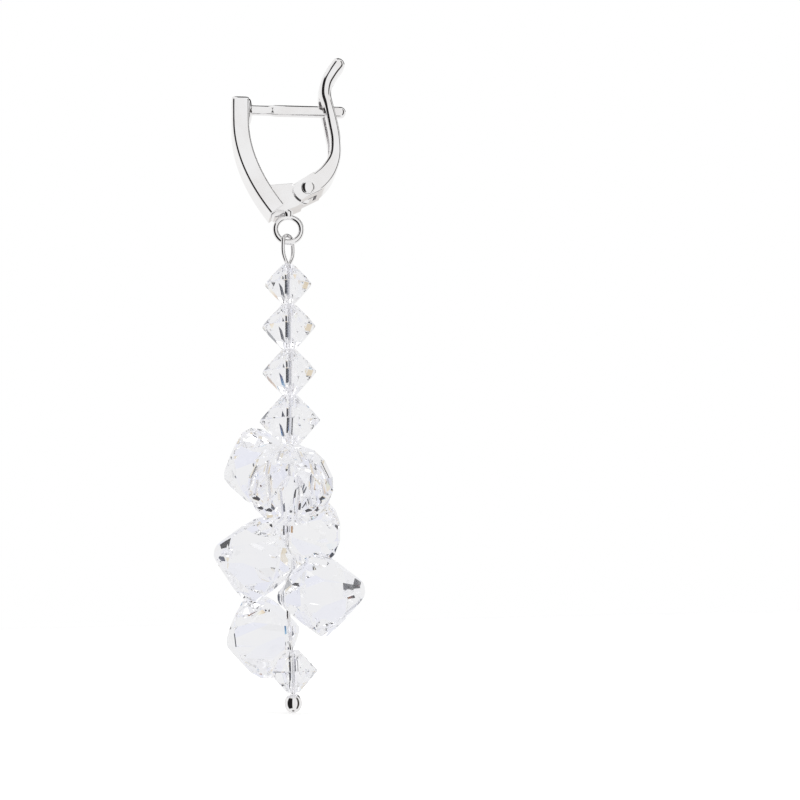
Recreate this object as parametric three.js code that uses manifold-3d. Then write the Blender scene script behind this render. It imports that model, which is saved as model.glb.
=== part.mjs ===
// A silver leverback earring: a curved front bar with its ear post, a spring lever hinged on a rivet,
// a soldered ring, and a drop of faceted crystal beads on one wire that ends in a small ball.
// Millimetres. X runs from the front of the ear (minus) to the back (plus), Y across the clasp, Z up.
// The origin is the middle of the ear post, where the ear lobe hangs on it.
import * as THREE from "three";
import { ConvexGeometry } from "three/addons/geometries/ConvexGeometry.js";
import { mergeVertices } from "three/addons/utils/BufferGeometryUtils.js";
import Module from "manifold-3d";

// Front bar
const barWidth = 3.8;
const barThickness = 1.62;
const lobeToBar = 3.7; // from the origin forward to the bar's back face
const barTop = 0.88;
const barStraight = 2.6; // length of the flat stretch behind the front face
const barUpperPull = 3.1; // how long the curve keeps the flat stretch's direction
const barLowerPull = 3.2; // how long it keeps the foot's direction
const barFootAngle = 37.6; // degrees from upright
const barFootAhead = 2.96; // from the hinge forward to the middle of the foot's end
const barFootBelow = 2.1; // from the hinge down to it
const barCorner = 0.6;
const softEdge = 0.22;
const fineEdge = 0.11; // of the bracket and the lever's foot

// Ear post, the thinner stem that it starts with, and the boss that they stand on
const postDiameter = 1.12;
const postReach = 5.84; // from the origin back to the post's tip
const stemDiameter = 0.96;
const stemLength = 1.7;
const stemTaper = 0.5;
const bossDiameter = 2.7;
const bossHeight = 0.38;
const bossBelow = 0.12; // the boss's middle is below the post's

// Hinge
const hingeBack = 1.85; // from the origin back to the hinge
const hingeBelow = 8.2; // and down to it
const pinDiameter = 0.8;
const pinClearance = 0.08;
const rivetHeadDiameter = 1.25;
const rivetHeadHeight = 0.25;
const rivetHeadGap = 0.05;
const tongueWidth = 1.3;
const tongueRadius = 0.85;

// Bracket between the bar's foot and the hinge
const bracketWidth = 3.0;
const bracketHeight = 2.9; // along the back of the bar, up from its foot
const bracketTopAhead = 1.42; // from the hinge forward to the bracket's upper rear corner
const bracketTopAbove = 0.52;
const bracketUnderAhead = 0.44; // from the hinge forward to its lower rear corner
const bracketUnderBelow = 1.4;
const lipWidth = 1.9; // of the lip that runs forward under the bar's foot
const lipAhead = 0.24; // from the middle of the foot's end forward to the lip's edge
const lipBelow = 0.65;

// Lever
const leverHeight = 13.0; // from the hinge up to the tip
const leverReach = 3.25; // from the hinge back to the tip
const leverThickness = 1.0;
const leverWidth = 4.0;
const earRadius = 1.4; // of the lever's two ears, round the hinge
const earRise = 167; // degrees round the hinge where the ears' round end starts, from straight back
const earFall = 242; // and where it ends
const forkClearance = 0.1; // beside the tongue
const swingClearance = 0.12; // between what turns about the hinge and what stays
const slotClearance = 0.19; // beside the post
const slotLength = 5.8;

// Ring under the hinge
const ringRadius = 1.24; // to the middle of its wire
const ringWire = 0.56;
const ringAhead = 1.79; // from the hinge forward to the ring's middle
const ringBelow = 3.7;
const solderDiameter = 0.9;
const solderHeight = 0.55;

// Wire of the drop: an eye, a shank through all beads and a ball
const wireDiameter = 0.4;
const eyeWidth = 1.6; // between the middles of its two legs
const eyeHeight = 2.89; // from the middle of its top wire to the first bead
const eyeClearance = 0.14; // between the eye's top and the ring's wire that it hangs on
const eyeTurn = 50; // degrees from the ring's plane
const ballDiameter = 1.66;
const ballHeight = 1.84;

// How finely round shapes are cut
const wireSides = 6;
const roundSides = 16; // of the post, the boss, the rivet and its bores
const hingeSides = 24; // of what turns about the hinge
const ringSides = 20;
const ballSides = 14;
const ballRings = 10;
const drillSides = 12;
const endSteps = 4; // of the post's tip and the boss's dome
const cornerSteps = 5; // of the plates' round corners
const tipSteps = 6; // of the bar's corners and the lever's tip
const footSteps = 8; // of its ears
const barSteps = 12;
const leverSteps = 3; // between two of its sections
const eyeSteps = 34;
const shankSteps = 56;
const drillLooks = 800; // along the wire, for the place where it passes a bead

// Beads
const boreClearance = 0.25;
const beadGap = 0.05;
const smallBeadDiameters = [4.5, 5.1, 5.15, 5.75];
const endBeadDiameter = 4.6;
const largeBeadDiameter = 8.0;

// The cut of a double-cone bead, in shares of its girdle diameter. A tip is flat, with a steep band
// of facets round it where bevel isn't nought.
const smallCut = {
  half: 0.425,
  outer: { tip: 0.12, band: 0.157, bevel: 0.039 },
  inner: { tip: 0.12, band: 0.157, bevel: 0.039 },
};
const largeCut = {
  half: 0.5125,
  outer: { tip: 0.0825, band: 0.14, bevel: 0.0625 },
  inner: { tip: 0.065, band: 0.065, bevel: 0 },
};
const girdleShare = 0.015;
const girdleChord = 0.55; // how much of an octagon's side the long facets keep at the girdle
const cornerFacet = 0.35; // how far up the cone a corner facet reaches
const cutSides = 8;

// The cluster hangs from its beads' inner tips. back and across are the wire's place, down is the way
// down from the last small bead, all in large bead diameters. turn is the way a tip points, seen from
// above, from the side that faces minus Y; lift raises it; spin turns the bead about its own axis.
const clusterLength = 2.37;
const cluster = [
  { back: -0.029, across: 0.0375, down: 0.1735, turn: -132, lift: -7.6, spin: 0 },
  { back: -0.0325, across: -0.001, down: 0.575, turn: 0, lift: 13.4, spin: 22.5 },
  { back: -0.045, across: -0.006, down: 0.9875, turn: 148.7, lift: -2.9, spin: 0 },
  { back: -0.055, across: -0.0075, down: 1.3875, turn: -63.7, lift: 8.9, spin: 0 },
  { back: -0.044, across: 0.006, down: 1.764, turn: 64.9, lift: 4, spin: 0 },
  { back: -0.0375, across: 0.035, down: 2.15, turn: -134.6, lift: -9, spin: 0 },
];
const boreInset = 0.10625; // of the diameter, from the inner tip to the bore

// The lever's middle line from tip to hinge: back and up are shares of its reach and height above the
// hinge, thick and wide are shares of its thickness and width.
const leverSections = [
  { back: 1.0, up: 1.0, thick: 1.15, wide: 0.55 },
  { back: 0.831, up: 0.935, thick: 1.15, wide: 0.575 },
  { back: 0.65, up: 0.843, thick: 1.2, wide: 0.65 },
  { back: 0.586, up: 0.738, thick: 1.1, wide: 0.8 },
  { back: 0.662, up: 0.638, thick: 0.95, wide: 0.975 },
  { back: 0.778, up: 0.496, thick: 1.0, wide: 1.0 },
  { back: 0.852, up: 0.369, thick: 1.0, wide: 1.0 },
  { back: 0.822, up: 0.246, thick: 1.15, wide: 0.975 },
  { back: 0.615, up: 0.138, thick: 1.5, wide: 0.963 },
  { back: 0.323, up: 0.06, thick: 1.72, wide: 0.95 },
  { back: 0.05, up: 0.018, thick: 1.72, wide: 0.95 },
];

// Half of the eye from its top to the first bead, in shares of half its width and of its height.
const eyeSections = [
  { out: 0, down: 0 },
  { out: 0.5, down: 0.034 },
  { out: 0.8, down: 0.1 },
  { out: 0.93, down: 0.2 },
  { out: 0.98, down: 0.34 },
  { out: 1, down: 0.5 },
  { out: 0.9, down: 0.66 },
  { out: 0.64, down: 0.8 },
  { out: 0.33, down: 0.92 },
  { out: 0.13, down: 1.0 },
  { out: 0.08, down: 1.25 },
];

// What the foot of the lever adds behind its round end, in shares of the ears' radius from the hinge.
const footSections = [
  { back: 0.985, up: -0.13 },
  { back: 0.43, up: 1.14 },
];

// Half of a rivet head's outline, in shares of its radius and height.
const rivetHead = [
  { out: 1, up: 0 },
  { out: 0.88, up: 0.6 },
  { out: 0.5, up: 0.92 },
  { out: 0, up: 1 },
];

// The shank starts inside the first bead and runs straight again inside the last one, in shares of
// the bead's half height.
const shankStart = 0.9;
const shankEnd = 0.4;

const wasm = await Module();
wasm.setup();

const radians = THREE.MathUtils.degToRad;
const hinge = new THREE.Vector2(hingeBack, -hingeBelow);
const barMiddle = -lobeToBar - barThickness / 2;
const wireRadius = wireDiameter / 2;
const boreRadius = wireRadius + boreClearance;
const ringCentre = new THREE.Vector2(hinge.x - ringAhead, hinge.y - ringBelow);
const through = 40; // longer than any cut has to be

const finish = (color, roughness, metalness) =>
  new THREE.MeshStandardMaterial({ color, roughness, metalness });
const silver = () => finish(0xe6e6ea, 0.12, 1);
const crystal = () => finish(0xf4f5fa, 0.03, 0.1);

// A closed geometry as a solid that can be joined and cut.
function solid(geometry) {
  const bare = new THREE.BufferGeometry();
  bare.setAttribute("position", geometry.getAttribute("position").clone());
  bare.setIndex(geometry.getIndex());
  const merged = mergeVertices(bare, 1e-4);
  const corners = merged.getIndex().array;
  const kept = [];
  for (let i = 0; i < corners.length; i += 3) {
    const [a, b, c] = corners.subarray(i, i + 3);
    if (a !== b && b !== c && c !== a) kept.push(a, b, c);
  }
  return new wasm.Manifold(
    new wasm.Mesh({
      numProp: 3,
      vertProperties: new Float32Array(merged.getAttribute("position").array),
      triVerts: new Uint32Array(kept),
    }),
  );
}

// A solid as a geometry again.
function surface(body) {
  const mesh = body.getMesh();
  const geometry = new THREE.BufferGeometry();
  geometry.setAttribute("position", new THREE.BufferAttribute(mesh.vertProperties, 3));
  geometry.setIndex(new THREE.BufferAttribute(mesh.triVerts, 1));
  geometry.computeVertexNormals();
  return geometry;
}

function outline(points) {
  return new THREE.Shape(points.map((p) => new THREE.Vector2(p.x, p.y)));
}

function polygonRing(radius, sides) {
  return Array.from({ length: sides }, (_, i) => {
    const angle = ((i + 0.5) / sides) * Math.PI * 2;
    return new THREE.Vector2(Math.cos(angle) * radius, Math.sin(angle) * radius);
  });
}

// A side view (x back, y up) as a body that is centred across the clasp, with softened edges.
function sideBody(shape, width, edge) {
  const geometry = new THREE.ExtrudeGeometry(shape, {
    depth: width - 2 * edge,
    bevelEnabled: edge > 0,
    bevelThickness: edge,
    bevelSize: edge,
    bevelOffset: -edge,
    bevelSegments: 2,
    curveSegments: tipSteps,
  });
  geometry.translate(0, 0, edge - width / 2);
  const upright = new THREE.Matrix4().makeBasis(
    new THREE.Vector3(1, 0, 0),
    new THREE.Vector3(0, 0, 1),
    new THREE.Vector3(0, -1, 0),
  );
  return solid(geometry.applyMatrix4(upright));
}

// A front view (x across, y up) as a body that runs right through the clasp from front to back.
function frontBody(shape) {
  const geometry = new THREE.ExtrudeGeometry(shape, {
    depth: through,
    bevelEnabled: false,
    curveSegments: cornerSteps,
  });
  geometry.translate(0, 0, -through / 2);
  const facing = new THREE.Matrix4().makeBasis(
    new THREE.Vector3(0, 1, 0),
    new THREE.Vector3(0, 0, 1),
    new THREE.Vector3(1, 0, 0),
  );
  return solid(geometry.applyMatrix4(facing));
}

// A round bar across the clasp.
function crossCylinder(centre, radius, width, sides) {
  const geometry = new THREE.CylinderGeometry(radius, radius, width, sides);
  geometry.translate(centre.x, 0, centre.y);
  return solid(geometry);
}

// A round wire along a curve.
function wireBody(curve, radius, sides, steps) {
  return solid(
    new THREE.ExtrudeGeometry(outline(polygonRing(radius, sides)), {
      steps,
      bevelEnabled: false,
      extrudePath: curve,
    }),
  );
}

// The outline of a strip: its middle line and half its thickness at each point.
function strip(points, halves) {
  const left = [];
  const right = [];
  points.forEach((point, i) => {
    const before = points[Math.max(i - 1, 0)];
    const after = points[Math.min(i + 1, points.length - 1)];
    const along = new THREE.Vector2().subVectors(after, before).normalize();
    const side = new THREE.Vector2(-along.y, along.x).multiplyScalar(halves[i]);
    left.push(point.clone().add(side));
    right.unshift(point.clone().sub(side));
  });
  return outline([...left, ...right]);
}

// The bar's middle line in the side view, from its top to its foot.
function barLine() {
  const top = new THREE.Vector2(barMiddle, barTop);
  const bend = new THREE.Vector2(barMiddle, barTop - barStraight);
  const foot = new THREE.Vector2(hinge.x - barFootAhead, hinge.y - barFootBelow);
  const lean = new THREE.Vector2(-Math.sin(radians(barFootAngle)), Math.cos(radians(barFootAngle)));
  const curve = new THREE.CubicBezierCurve(
    bend,
    bend.clone().add(new THREE.Vector2(0, -barUpperPull)),
    foot.clone().addScaledVector(lean, barLowerPull),
    foot,
  );
  return { points: [top, ...curve.getPoints(barSteps)], foot, lean };
}

// A plate as wide as the bar, rounded at its two upper corners.
function barFront() {
  const half = barWidth / 2;
  const low = hinge.y - barFootBelow - barThickness;
  const shape = new THREE.Shape();
  shape.moveTo(-half, low);
  shape.lineTo(half, low);
  shape.lineTo(half, barTop - barCorner);
  shape.absarc(half - barCorner, barTop - barCorner, barCorner, 0, Math.PI / 2, false);
  shape.lineTo(barCorner - half, barTop);
  shape.absarc(barCorner - half, barTop - barCorner, barCorner, Math.PI / 2, Math.PI, false);
  return frontBody(shape);
}

function bar() {
  const { points } = barLine();
  const profile = strip(points, points.map(() => barThickness / 2));
  return sideBody(profile, barWidth, softEdge).intersect(barFront());
}

// A profile turned about an axis along the post, from the bar's back face.
function turnedOnBar(profile, below) {
  const geometry = new THREE.LatheGeometry(profile, roundSides);
  geometry.rotateZ(-Math.PI / 2);
  geometry.translate(-lobeToBar, 0, -below);
  return solid(geometry);
}

// A quarter of an ellipse from the side of a round end to its tip on the axis.
function roundEnd(radius, height, start) {
  return Array.from({ length: endSteps + 1 }, (_, i) => {
    const angle = (i / endSteps) * (Math.PI / 2);
    const away = i === endSteps ? 0 : radius * Math.cos(angle);
    return new THREE.Vector2(away, start + height * Math.sin(angle));
  });
}

// The domed boss on the bar's back, kept inside the bar's own outline.
function boss() {
  const radius = bossDiameter / 2;
  const root = -barThickness / 2;
  const foot = [new THREE.Vector2(0, root), new THREE.Vector2(radius, root)];
  return turnedOnBar([...foot, ...roundEnd(radius, bossHeight, 0)], bossBelow).intersect(barFront());
}

// The post: a thinner stem, a short taper and the full round bar with its round tip.
function post() {
  const length = lobeToBar + postReach;
  const stemRadius = stemDiameter / 2;
  const postRadius = postDiameter / 2;
  const profile = [
    new THREE.Vector2(0, -barThickness / 2),
    new THREE.Vector2(stemRadius, -barThickness / 2),
    new THREE.Vector2(stemRadius, bossHeight + stemLength),
    new THREE.Vector2(postRadius, bossHeight + stemLength + stemTaper),
    ...roundEnd(postRadius, postRadius, length - postRadius),
  ];
  return turnedOnBar(profile, 0);
}

// The bracket on the back of the bar, hollowed round the lever's ears, with the tongue between them
// and the lip under the bar's foot.
function bracket() {
  const { foot, lean } = barLine();
  const upper = foot.clone().addScaledVector(lean, bracketHeight);
  const behind = new THREE.Vector2(hinge.x - bracketTopAhead, hinge.y + bracketTopAbove);
  const below = new THREE.Vector2(hinge.x - bracketUnderAhead, hinge.y - bracketUnderBelow);
  const lip = new THREE.Vector2(foot.x - lipAhead, foot.y - lipBelow);
  const toLip = (x) => lip.y + ((below.y - lip.y) * (x - lip.x)) / (below.x - lip.x);
  const heel = new THREE.Vector2(foot.x + barThickness / 2, toLip(foot.x + barThickness / 2));
  const block = sideBody(outline([foot, heel, below, behind, upper]), bracketWidth, fineEdge);
  const room = crossCylinder(hinge, earRadius + swingClearance, through, hingeSides);
  const web = sideBody(outline([foot, heel, below, hinge, behind, upper]), tongueWidth, 0);
  const edge = lip.clone().addScaledVector(lean, lipBelow / 2);
  const plate = sideBody(outline([lip, below, behind, foot, edge]), lipWidth, fineEdge).subtract(room);
  const tongue = crossCylinder(hinge, tongueRadius, tongueWidth, hingeSides);
  const bore = crossCylinder(hinge, pinDiameter / 2 + pinClearance, through, roundSides);
  return block.subtract(room).add(web).add(plate).add(tongue).subtract(bore);
}

// The ring with the solder that joins it to the bracket.
function ring() {
  const geometry = new THREE.TorusGeometry(ringRadius, ringWire / 2, wireSides, ringSides);
  geometry.rotateX(Math.PI / 2);
  geometry.translate(ringCentre.x, 0, ringCentre.y);
  const solderRadius = solderDiameter / 2;
  const solder = new THREE.CylinderGeometry(solderRadius, solderRadius, solderHeight, drillSides);
  solder.rotateX(Math.PI / 2);
  solder.translate(ringCentre.x, 0, ringCentre.y + ringRadius + solderHeight / 2);
  return solid(geometry).add(solid(solder));
}

function claspFrame() {
  return bar().add(boss()).add(post()).add(bracket()).add(ring());
}

// The lever's middle line with its thickness and width, smooth between its sections.
function leverLine() {
  const places = leverSections.map(
    (s) => new THREE.Vector2(hinge.x + leverReach * s.back, hinge.y + leverHeight * s.up),
  );
  const sizes = leverSections.map((s) => new THREE.Vector2(leverThickness * s.thick, leverWidth * s.wide));
  const steps = (leverSections.length - 1) * leverSteps;
  return {
    points: new THREE.SplineCurve(places).getPoints(steps),
    sizes: new THREE.SplineCurve(sizes).getPoints(steps),
  };
}

// The lever's outline from behind, with a round tip.
function leverFront() {
  const { points, sizes } = leverLine();
  const tip = points[0].y + (leverThickness * leverSections[0].thick) / 2;
  const tipRadius = sizes[0].y / 2;
  const sides = points.map((p, i) => new THREE.Vector2(sizes[i].y / 2, p.y));
  const right = sides.filter((p) => p.y < tip - tipRadius);
  const footWidth = right[right.length - 1].x;
  right.push(new THREE.Vector2(footWidth, hinge.y - earRadius * 2));
  const crown = Array.from({ length: tipSteps + 1 }, (_, i) => {
    const angle = Math.PI - (i / tipSteps) * Math.PI;
    return new THREE.Vector2(Math.cos(angle) * tipRadius, tip - tipRadius + Math.sin(angle) * tipRadius);
  });
  const left = right.map((p) => new THREE.Vector2(-p.x, p.y)).reverse();
  return frontBody(outline([...left, ...crown, ...right]));
}

// A slot through the lever, with round ends, that the post passes as the lever swings.
function postSlot() {
  const half = postDiameter / 2 + slotClearance;
  const tipCentre = postReach - postDiameter / 2 - hinge.x;
  const top = hinge.y + Math.hypot(tipCentre, hinge.y) + postDiameter / 2 + swingClearance;
  const shape = new THREE.Shape();
  shape.moveTo(half, top - half);
  shape.absarc(0, top - half, half, 0, Math.PI, false);
  shape.absarc(0, top - slotLength + half, half, Math.PI, Math.PI * 2, false);
  const back = new THREE.BoxGeometry(through, through, through);
  back.translate(through / 2 + hinge.x, 0, 0);
  return frontBody(shape).intersect(solid(back));
}

// The gap between the lever's two ears: round about the hinge, and open forward and down.
function fork() {
  const width = tongueWidth + 2 * forkClearance;
  const radius = tongueRadius + swingClearance;
  const past = earRadius * 2;
  const round = crossCylinder(hinge, radius, width, hingeSides);
  const drop = new THREE.Vector2(hinge.x + radius, hinge.y - past);
  const corner = new THREE.Vector2(hinge.x - past, hinge.y - past);
  const front = new THREE.Vector2(hinge.x - past, hinge.y + radius);
  const edge = new THREE.Vector2(hinge.x + radius, hinge.y);
  const crest = new THREE.Vector2(hinge.x, hinge.y + radius);
  return round.add(sideBody(outline([edge, crest, front, corner, drop]), width, 0));
}

// The lever: its arm with a round tip, and the foot with the two ears round the hinge.
function lever() {
  const { points, sizes } = leverLine();
  const arm = sideBody(strip(points, sizes.map((s) => s.x / 2)), leverWidth, softEdge);
  const tipShape = new THREE.Shape();
  tipShape.absarc(points[0].x, points[0].y, sizes[0].x / 2, 0, Math.PI * 2, false);
  const footEnd = Array.from({ length: footSteps + 1 }, (_, i) => {
    const angle = radians(earRise + (i / footSteps) * (earFall - earRise));
    return hinge.clone().add(new THREE.Vector2(Math.cos(angle), Math.sin(angle)).multiplyScalar(earRadius));
  });
  const footBack = footSections.map(
    (s) => new THREE.Vector2(hinge.x + earRadius * s.back, hinge.y + earRadius * s.up),
  );
  const tip = sideBody(tipShape, leverWidth, softEdge);
  const foot = sideBody(outline([...footEnd, ...footBack]), leverWidth, fineEdge);
  const bore = crossCylinder(hinge, pinDiameter / 2 + pinClearance, through, roundSides);
  const whole = arm.add(tip).add(foot).intersect(leverFront());
  return whole.subtract(postSlot()).subtract(fork()).subtract(bore);
}

// The rivet with its two domed heads, turned about the hinge's axis.
function rivet() {
  const earFace = (leverWidth * leverSections[leverSections.length - 1].wide) / 2 + rivetHeadGap;
  const head = rivetHead.map(
    (s) => new THREE.Vector2((rivetHeadDiameter / 2) * s.out, earFace + rivetHeadHeight * s.up),
  );
  const half = [new THREE.Vector2(pinDiameter / 2, earFace), ...head];
  const lower = half.map((p) => new THREE.Vector2(p.x, -p.y)).reverse();
  return solid(new THREE.LatheGeometry([...lower, ...half], roundSides));
}

// One cone of a bead: its ring of points from the girdle to the flat tip, on the side that sign gives.
function conePoints(cut, end, diameter, sign) {
  const wall = diameter / 2 / Math.hypot(1, girdleChord * Math.tan(Math.PI / cutSides));
  const corner = 1 / Math.cos(Math.PI / cutSides);
  const half = cut.half * diameter;
  const bandHeight = half - end.bevel * diameter;
  const girdle = (girdleShare * diameter) / 2;
  const facetHeight = girdle + cornerFacet * (bandHeight - girdle);
  const facetWall = wall + (end.band * diameter - wall) * cornerFacet;
  const points = [];
  for (let k = 0; k < cutSides; k += 1) {
    const angle = ((k + 0.5) / cutSides) * Math.PI * 2;
    const at = (radius, height) =>
      points.push(new THREE.Vector3(Math.cos(angle) * radius, Math.sin(angle) * radius, sign * height));
    at(end.tip * diameter * corner, half);
    if (end.bevel > 0) at(end.band * diameter * corner, bandHeight);
    at(facetWall * corner, facetHeight);
    const middle = (k / cutSides) * Math.PI * 2;
    const across = wall * Math.tan(Math.PI / cutSides) * girdleChord;
    for (const side of [-1, 1]) {
      points.push(
        new THREE.Vector3(
          Math.cos(middle) * wall - Math.sin(middle) * across * side,
          Math.sin(middle) * wall + Math.cos(middle) * across * side,
          sign * girdle,
        ),
      );
    }
  }
  return points;
}

function beadBody(cut, diameter) {
  const outer = conePoints(cut, cut.outer, diameter, 1);
  const inner = conePoints(cut, cut.inner, diameter, -1);
  return solid(new ConvexGeometry([...outer, ...inner]));
}

// The beads from top to bottom, each with its name, cut, size, place and the wire's place in it.
function beadList() {
  const list = [];
  let height = ringCentre.y - ringRadius + ringWire / 2 + eyeClearance + wireRadius - eyeHeight;
  const stack = (name, diameter) => {
    const half = smallCut.half * diameter;
    height -= half;
    const onWire = new THREE.Vector3(0, 0, height);
    list.push({ name, cut: smallCut, diameter, onWire, place: onWire, basis: new THREE.Matrix4() });
    height -= half + beadGap;
  };
  smallBeadDiameters.forEach((diameter, i) => stack(`small_bead_${i + 1}`, diameter));
  const clusterTop = height + beadGap;
  cluster.forEach((row, i) => {
    const turn = radians(row.turn);
    const lift = radians(row.lift);
    const spin = radians(row.spin);
    const out = new THREE.Vector3(
      Math.sin(turn) * Math.cos(lift),
      -Math.cos(turn) * Math.cos(lift),
      Math.sin(lift),
    );
    const side = new THREE.Vector3(Math.cos(turn), Math.sin(turn), 0);
    const up = new THREE.Vector3().crossVectors(out, side);
    const x = side.multiplyScalar(Math.cos(spin)).addScaledVector(up, Math.sin(spin));
    const y = new THREE.Vector3().crossVectors(out, x);
    const onWire = new THREE.Vector3(
      row.back * largeBeadDiameter,
      row.across * largeBeadDiameter,
      clusterTop - row.down * largeBeadDiameter,
    );
    const reach = (largeCut.half - boreInset) * largeBeadDiameter;
    list.push({
      name: `large_bead_${i + 1}`,
      cut: largeCut,
      diameter: largeBeadDiameter,
      onWire,
      place: onWire.clone().addScaledVector(out, reach),
      basis: new THREE.Matrix4().makeBasis(x, y, out),
    });
  });
  height = clusterTop - clusterLength * largeBeadDiameter;
  stack("end_bead", endBeadDiameter);
  return { list, end: height };
}

// The wire's middle line from inside the first bead to the middle of the ball.
function shankLine(beads, end) {
  const first = beads[0];
  const last = beads[beads.length - 1];
  const lastSmall = beads[smallBeadDiameters.length - 1];
  const start = new THREE.Vector3(0, 0, first.onWire.z + smallCut.half * first.diameter * shankStart);
  const ballCentre = new THREE.Vector3(0, 0, end - ballHeight / 2);
  const points = [
    start,
    first.onWire,
    lastSmall.onWire,
    ...beads.filter((bead) => bead.cut === largeCut).map((bead) => bead.onWire),
    last.onWire.clone().add(new THREE.Vector3(0, 0, smallCut.half * last.diameter * shankEnd)),
    ballCentre,
  ];
  return new THREE.CatmullRomCurve3(points, false, "centripetal");
}

// The eye, closed at its foot inside the first bead.
function eye(top) {
  const leg = (side) =>
    eyeSections.map((s) => {
      const out = (side * s.out * eyeWidth) / 2;
      const turn = radians(eyeTurn);
      return new THREE.Vector3(out * Math.cos(turn), out * Math.sin(turn), top - s.down * eyeHeight);
    });
  const loop = [...leg(-1).reverse(), ...leg(1).slice(1)];
  const curve = new THREE.CatmullRomCurve3(loop, false, "centripetal");
  return wireBody(curve, wireRadius, wireSides, eyeSteps);
}

function dropWire(beads, end) {
  const top = beads[0].onWire.z + smallCut.half * beads[0].diameter + eyeHeight;
  const ball = new THREE.SphereGeometry(ballDiameter / 2, ballSides, ballRings);
  ball.rotateX(Math.PI / 2);
  ball.scale(1, 1, ballHeight / ballDiameter);
  ball.translate(0, 0, end - ballHeight / 2);
  const shank = wireBody(shankLine(beads, end), wireRadius, wireSides, shankSteps);
  return eye(top).add(shank).add(solid(ball));
}

// A bead drilled along the wire, in its own frame.
function drilledBead(bead, line) {
  let nearest = 0;
  let best = Infinity;
  for (let i = 0; i <= drillLooks; i += 1) {
    const away = line.getPointAt(i / drillLooks).distanceTo(bead.onWire);
    if (away < best) {
      best = away;
      nearest = i / drillLooks;
    }
  }
  const along = line.getTangentAt(nearest);
  const drill = new THREE.CylinderGeometry(boreRadius, boreRadius, bead.diameter * 2, drillSides);
  drill.applyQuaternion(new THREE.Quaternion().setFromUnitVectors(new THREE.Vector3(0, 1, 0), along));
  drill.translate(bead.onWire.x, bead.onWire.y, bead.onWire.z);
  const pose = bead.basis.clone().setPosition(bead.place);
  drill.applyMatrix4(pose.invert());
  return beadBody(bead.cut, bead.diameter).subtract(solid(drill));
}

const earring = new THREE.Group();

function addPiece(parent, name, body, material) {
  const mesh = new THREE.Mesh(surface(body), material);
  mesh.name = name;
  parent.add(mesh);
  return mesh;
}

const clasp = new THREE.Group();
addPiece(clasp, "clasp_frame", claspFrame(), silver());
addPiece(clasp, "clasp_lever", lever(), silver());
addPiece(clasp, "hinge_rivet", rivet(), silver()).position.set(hinge.x, 0, hinge.y);
earring.add(clasp);

const drop = new THREE.Group();
const { list: beads, end: stringEnd } = beadList();
const threadLine = shankLine(beads, stringEnd);
addPiece(drop, "drop_wire", dropWire(beads, stringEnd), silver());
for (const bead of beads) {
  const mesh = addPiece(drop, bead.name, drilledBead(bead, threadLine), crystal());
  mesh.position.copy(bead.place);
  mesh.quaternion.setFromRotationMatrix(bead.basis);
}
earring.add(drop);

export default earring;
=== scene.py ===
# %% [markdown]
# A leverback drop earring, modelled for Blender around its CAD part.
# The frame holds the exact size and place of every piece, in metres: X runs from the front bar back to the
# lever, Y goes across the clasp and Z points up. The origin is the middle of the ear post.
# This lesson sets up the camera and a white studio first, then makes two finishes, and then goes through
# the earring from the clasp down to the ball at the end of its wire.

# %% The frame
import math
import bmesh
import bpy
from mathutils import Matrix, Vector


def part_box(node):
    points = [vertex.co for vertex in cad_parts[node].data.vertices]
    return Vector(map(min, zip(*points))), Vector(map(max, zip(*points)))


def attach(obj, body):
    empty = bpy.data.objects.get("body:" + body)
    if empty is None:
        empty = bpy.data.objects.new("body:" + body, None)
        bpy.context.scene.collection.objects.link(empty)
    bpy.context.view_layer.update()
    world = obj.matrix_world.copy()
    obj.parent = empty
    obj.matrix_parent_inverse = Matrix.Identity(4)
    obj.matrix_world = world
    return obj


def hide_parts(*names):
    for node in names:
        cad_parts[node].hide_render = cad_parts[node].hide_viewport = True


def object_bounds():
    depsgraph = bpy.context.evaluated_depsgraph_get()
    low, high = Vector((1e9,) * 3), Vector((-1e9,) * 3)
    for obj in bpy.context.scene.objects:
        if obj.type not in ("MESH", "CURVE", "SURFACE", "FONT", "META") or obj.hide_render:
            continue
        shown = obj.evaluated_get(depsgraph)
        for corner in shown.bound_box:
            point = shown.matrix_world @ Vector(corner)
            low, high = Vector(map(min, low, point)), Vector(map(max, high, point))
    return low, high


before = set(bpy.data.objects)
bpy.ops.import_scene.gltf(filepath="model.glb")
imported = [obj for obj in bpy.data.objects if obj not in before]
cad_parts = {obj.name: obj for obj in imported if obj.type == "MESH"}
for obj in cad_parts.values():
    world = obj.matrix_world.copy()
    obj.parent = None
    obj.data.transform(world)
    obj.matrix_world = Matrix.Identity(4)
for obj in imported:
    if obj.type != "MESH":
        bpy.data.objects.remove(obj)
cad_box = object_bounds()
MM = 0.001
print("CAD box in mm:", [[round(c / MM, 2) for c in corner] for corner in cad_box])

# %% [markdown]
# The camera stands a hand's width away, almost square to the side of the clasp and close to the ground, and
# looks slightly up, as a product photographer does to keep a hanging jewel tall and slim. Its axes are
# built by hand from the viewing direction, because a small roll is part of the picture too.

# %% The camera
CAMERA_PLACE = Vector((-9.766, -139.659, -48.823)) * MM
CAMERA_AIM = Vector((10.491, -0.734, -28.654)) * MM
CAMERA_ROLL = -0.02226
FOCAL_PIXELS = 1484
IMAGE_PIXELS = 800
SENSOR_MM = 36
CLIP_NEAR, CLIP_FAR = 0.005, 20


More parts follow.
